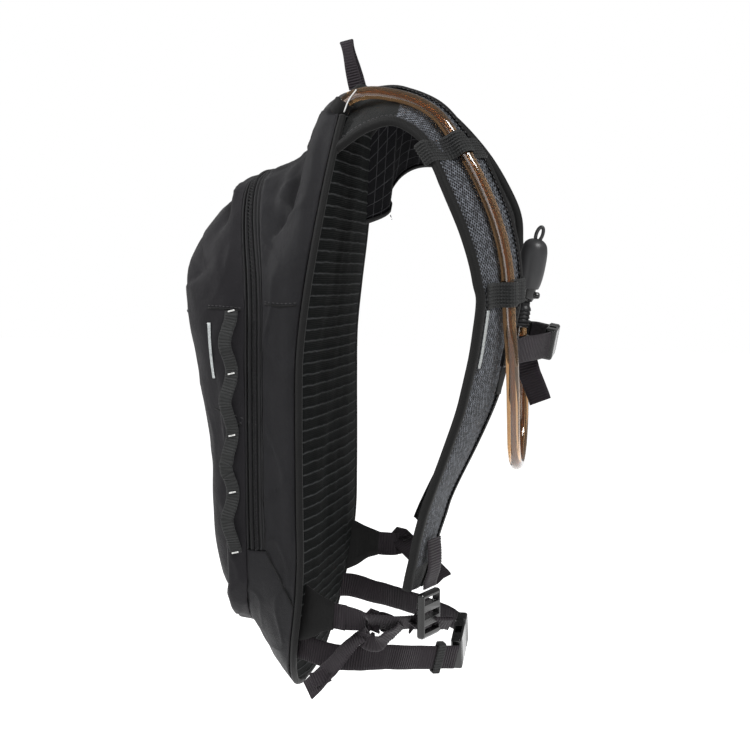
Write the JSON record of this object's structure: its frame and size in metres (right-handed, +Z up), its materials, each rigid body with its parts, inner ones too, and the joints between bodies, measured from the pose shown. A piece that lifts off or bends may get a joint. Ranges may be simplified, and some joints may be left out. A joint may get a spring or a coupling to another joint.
{
  "type": "hydration pack",
  "caption": "Slim upright riding backpack with padded mesh straps, a drinking tube looped along the right strap, and buckled chest and hip straps.",
  "frame": {"origin": "middle of the flat part of the back panel's contact face, where the pack rests on the wearer's back", "axes": "+Y out of the back panel towards the wearer, +Z up as worn, +X the wearer's right"},
  "size_m": [0.2487, 0.2829, 0.5044],
  "materials": {
    "shell": "matte coated nylon",
    "front": "matte stretch fabric",
    "mesh": "ribbed spacer mesh",
    "foam": "open-cell foam in lining",
    "binding": "matte woven tape",
    "webbing": "woven nylon webbing",
    "strap": "three-dimensional spacer mesh with bound edges",
    "elastic": "ribbed elastic",
    "plastic": "moulded acetal, glossy",
    "rubber": "satin",
    "tube": "clear smoky amber tubing",
    "bladder": "soft translucent film",
    "metal": "die cast, dark"
  },
  "bodies": {
    "pack": {"back_mesh": "mesh", "back_pad": "foam", "barb_fitting": "rubber", "belt_tail": "webbing", "bottom_panel": "shell", "daisy_chain_left": "webbing", "daisy_chain_right": "webbing", "drinking_tube": "tube", "fill_gasket": "rubber", "front_shell": "front", "hanger_tab": "webbing", "hip_buckle_female": "plastic", "hip_webbing_left": "webbing", "hip_webbing_right": "webbing", "hose_port": "rubber", "inner_tube": "tube", "lock_loop_left": "webbing", "lock_loop_right": "webbing", "lower_webbing_left": "webbing", "lower_webbing_right": "webbing", "main_zip_tape": "binding", "panel_piping": "binding", "quick_connector": "plastic", "rear_gusset": "shell", "reservoir_bag": "bladder", "shoulder_strap_left": "strap", "shoulder_strap_right": "strap", "sleeve_divider": "shell", "stash_pocket": "front", "sternum_rail_left": "webbing", "sternum_rail_right": "webbing", "tube_clip": "plastic", "tube_keeper_lower": "elastic", "tube_keeper_upper": "elastic"},
    "haul_loop": {"haul_loop": "webbing"},
    "zip_slider_upper": {"zip_slider_upper": "metal"},
    "zip_slider_lower": {"zip_slider_lower": "metal"},
    "zip_pull_upper": {"zip_pull_upper": "rubber"},
    "zip_pull_lower": {"zip_pull_lower": "rubber"},
    "sternum_right": {"sternum_slider_right": "plastic", "sternum_webbing_right": "webbing", "sternum_buckle_female": "plastic", "sternum_tail": "webbing"},
    "sternum_left": {"sternum_slider_left": "plastic", "sternum_webbing_left": "webbing"},
    "sternum_male": {"sternum_buckle_male": "plastic"},
    "sternum_arm_upper": {"sternum_squeeze_arm_upper": "plastic"},
    "sternum_arm_lower": {"sternum_squeeze_arm_lower": "plastic"},
    "hip_male": {"hip_buckle_male": "plastic"},
    "hip_arm_upper": {"hip_squeeze_arm_upper": "plastic"},
    "hip_arm_lower": {"hip_squeeze_arm_lower": "plastic"},
    "lock_right": {"ladder_lock_right": "plastic"},
    "lock_left": {"ladder_lock_left": "plastic"},
    "belt_keeper": {"belt_keeper": "elastic"},
    "bite_valve": {"valve_body": "plastic", "bite_nipple": "rubber"},
    "dust_cover": {"dust_cover": "rubber"},
    "fill_cap": {"fill_cap": "plastic"},
    "connector_button": {"connector_button": "rubber"}
  },
  "joints": [
    {"name": "haul_loop_fold", "type": "hinge", "parent": "pack", "child": "haul_loop", "pos_m": [0, 0.019, 0.295], "axis": [1, 0, 0], "range_deg": [-50, 30]},
    {"name": "upper_slider_run", "type": "slide", "parent": "pack", "child": "zip_slider_upper", "axis": [0, 0, 1], "range_m": [0, 0.055]},
    {"name": "lower_slider_run", "type": "slide", "parent": "pack", "child": "zip_slider_lower", "axis": [0, 0, -1], "range_m": [0, 0.035]},
    {"name": "upper_pull_swing", "type": "hinge", "parent": "zip_slider_upper", "child": "zip_pull_upper", "pos_m": [-0.1125, -0.0395, 0.0415], "axis": [0, 1, 0], "range_deg": [0, 120]},
    {"name": "lower_pull_swing", "type": "hinge", "parent": "zip_slider_lower", "child": "zip_pull_lower", "pos_m": [-0.1125, -0.0395, 0.0135], "axis": [0, 1, 0], "range_deg": [0, 120]},
    {"name": "sternum_height", "type": "slide", "parent": "pack", "child": "sternum_right", "axis": [0, 0.1799, 0.9837], "range_m": [-0.015, 0.015]},
    {"name": "sternum_height_left", "type": "slide", "parent": "pack", "child": "sternum_left", "axis": [0, 0.1799, 0.9837], "range_m": [-0.015, 0.015]},
    {"name": "sternum_release", "type": "slide", "parent": "sternum_left", "child": "sternum_male", "axis": [-1, 0, 0], "range_m": [0, 0.022], "deforming": ["sternum_webbing_left"]},
    {"name": "sternum_squeeze", "type": "hinge", "parent": "sternum_male", "child": "sternum_arm_upper", "pos_m": [-0.0132, 0.17001, 0.10851], "axis": [0, 0.9837, -0.1799], "range_deg": [0, 6], "stiffness_Nm_per_rad": 0.02},
    {"name": "sternum_squeeze_lower", "type": "hinge", "parent": "sternum_male", "child": "sternum_arm_lower", "pos_m": [-0.0132, 0.16799, 0.09749], "axis": [0, 0.9837, -0.1799], "range_deg": [-6, 0], "stiffness_Nm_per_rad": 0.02},
    {"name": "hip_release", "type": "slide", "parent": "pack", "child": "hip_male", "axis": [-0.963, 0, 0.2696], "range_m": [0, 0.022], "deforming": ["hip_webbing_left"]},
    {"name": "hip_squeeze", "type": "hinge", "parent": "hip_male", "child": "hip_arm_upper", "pos_m": [-0.0108, 0.1, -0.1296], "axis": [0, 1, 0], "range_deg": [0, 6], "stiffness_Nm_per_rad": 0.02},
    {"name": "hip_squeeze_lower", "type": "hinge", "parent": "hip_male", "child": "hip_arm_lower", "pos_m": [-0.01463, 0.1, -0.14328], "axis": [0, 1, 0], "range_deg": [-6, 0], "stiffness_Nm_per_rad": 0.02},
    {"name": "lock_tilt_right", "type": "hinge", "parent": "pack", "child": "lock_right", "pos_m": [0.0985, 0.0895, -0.0718], "axis": [0.9292, -0.3697, 0], "range_deg": [0, 30]},
    {"name": "lock_tilt_left", "type": "hinge", "parent": "pack", "child": "lock_left", "pos_m": [-0.0985, 0.0645, -0.0663], "axis": [0.9292, 0.3697, 0], "range_deg": [0, 30]},
    {"name": "belt_keeper_run", "type": "slide", "parent": "pack", "child": "belt_keeper", "axis": [-0.6397, 0.7582, -0.1259], "range_m": [-0.005, 0.004]},
    {"name": "valve_twist", "type": "hinge", "parent": "pack", "child": "bite_valve", "pos_m": [0.006, 0.14723, 0.11579], "axis": [0, 0.16, 0.9871], "range_deg": [-90, 0]},
    {"name": "dust_cover_pull", "type": "slide", "parent": "bite_valve", "child": "dust_cover", "axis": [0, 0.16, 0.9871], "range_m": [0, 0.045]},
    {"name": "fill_cap_turn", "type": "hinge", "parent": "pack", "child": "fill_cap", "pos_m": [-0.022, -0.0269, 0.125], "axis": [0, -1, 0], "range_deg": [0, 350]},
    {"name": "connector_press", "type": "slide", "parent": "pack", "child": "connector_button", "axis": [-1, 0, 0], "range_m": [0, 0.0012], "stiffness_N_per_m": 200}
  ],
  "couplings": [
    {"joint": "sternum_height_left", "follows": "sternum_height", "ratio": 1},
    {"joint": "sternum_squeeze_lower", "follows": "sternum_squeeze", "ratio": -1},
    {"joint": "hip_squeeze_lower", "follows": "hip_squeeze", "ratio": -1}
  ]
}
